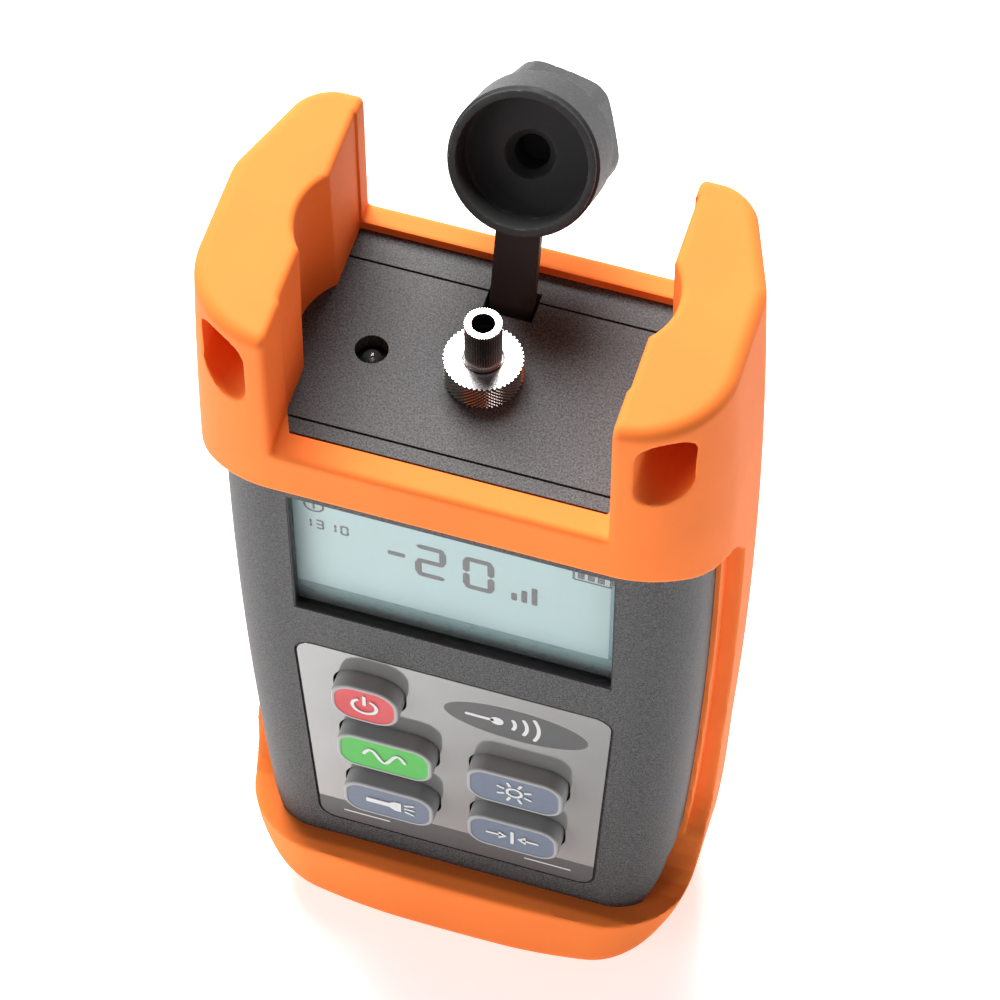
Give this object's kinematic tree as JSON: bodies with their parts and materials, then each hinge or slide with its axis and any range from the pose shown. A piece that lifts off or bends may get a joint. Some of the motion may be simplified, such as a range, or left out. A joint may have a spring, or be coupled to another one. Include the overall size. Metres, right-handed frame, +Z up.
{
  "type": "optical power meter",
  "caption": "Hand-held fibre optic power meter in an orange silicone boot, with a display, rubber keys, a knurled adapter port and a tethered dust cap.",
  "frame": {"origin": "centre of the flat base of the boot", "axes": "+Z up along the meter towards the optical port, -Y out of the display and keys, +X to the right as seen from the front"},
  "size_m": [0.0718, 0.0525, 0.1521],
  "materials": {
    "boot_silicone": "matte silicone",
    "housing_plastic": "fine spark texture",
    "window_clear": "clear, polished",
    "lcd": "grey-green reflective display",
    "white_plastic": "satin",
    "label": "glossy printed film",
    "key_red": "soft rubber with printed face",
    "key_green": "soft rubber with printed face",
    "key_slate": "soft rubber with printed face",
    "membrane": "matte",
    "board": "solder mask",
    "port_metal": "nickel plated",
    "can_metal": "bright",
    "adapter_metal": "nickel plated, knurled",
    "led_clear": "clear epoxy",
    "reflector": "bright",
    "cap_rubber": "matte",
    "cell_jacket": "printed jacket",
    "contact_metal": "nickel plated",
    "screw_steel": "zinc plated"
  },
  "bodies": {
    "meter": {"protective_boot": "boot_silicone", "front_shell": "housing_plastic", "rear_shell": "housing_plastic", "battery_door": "housing_plastic", "display_window": "window_clear", "lcd_panel": "lcd", "lcd_backlight": "white_plastic", "keypad_plate": "label", "keypad_membrane": "membrane", "circuit_board": "board", "detector_receptacle": "port_metal", "photodiode": "can_metal", "adapter_barrel": "adapter_metal", "torch_led": "led_clear", "led_holder": "reflector", "battery_cells": "cell_jacket", "battery_contacts": "contact_metal", "housing_screws": "screw_steel"},
    "coupling_nut_body": {"coupling_nut": "adapter_metal"},
    "dust_cap_body": {"dust_cap": "cap_rubber"},
    "key_power_body": {"key_power": "key_red"},
    "key_wavelength_body": {"key_wavelength": "key_green"},
    "key_backlight_body": {"key_backlight": "key_slate"},
    "key_torch_body": {"key_torch": "key_slate"},
    "key_reference_body": {"key_reference": "key_slate"}
  },
  "joints": [
    {"name": "coupling_nut_turn", "type": "hinge", "parent": "meter", "child": "coupling_nut_body", "pos_m": [0, -0.001, 0.1224], "axis": [0, 0, 1], "continuous": true},
    {"name": "dust_cap_swing", "type": "hinge", "parent": "meter", "child": "dust_cap_body", "pos_m": [0, 0.0108, 0.1162], "axis": [1, 0, 0], "range_deg": [-12, 20], "stiffness_Nm_per_rad": 0.03},
    {"name": "key_power_press", "type": "slide", "parent": "meter", "child": "key_power_body", "axis": [0, 1, 0], "range_m": [0, 0.0008], "stiffness_N_per_m": 1500},
    {"name": "key_wavelength_press", "type": "slide", "parent": "meter", "child": "key_wavelength_body", "axis": [0, 1, 0], "range_m": [0, 0.0008], "stiffness_N_per_m": 1500},
    {"name": "key_backlight_press", "type": "slide", "parent": "meter", "child": "key_backlight_body", "axis": [0, 1, 0], "range_m": [0, 0.0008], "stiffness_N_per_m": 1500},
    {"name": "key_torch_press", "type": "slide", "parent": "meter", "child": "key_torch_body", "axis": [0, 1, 0], "range_m": [0, 0.0008], "stiffness_N_per_m": 1500},
    {"name": "key_reference_press", "type": "slide", "parent": "meter", "child": "key_reference_body", "axis": [0, 1, 0], "range_m": [0, 0.0008], "stiffness_N_per_m": 1500}
  ]
}
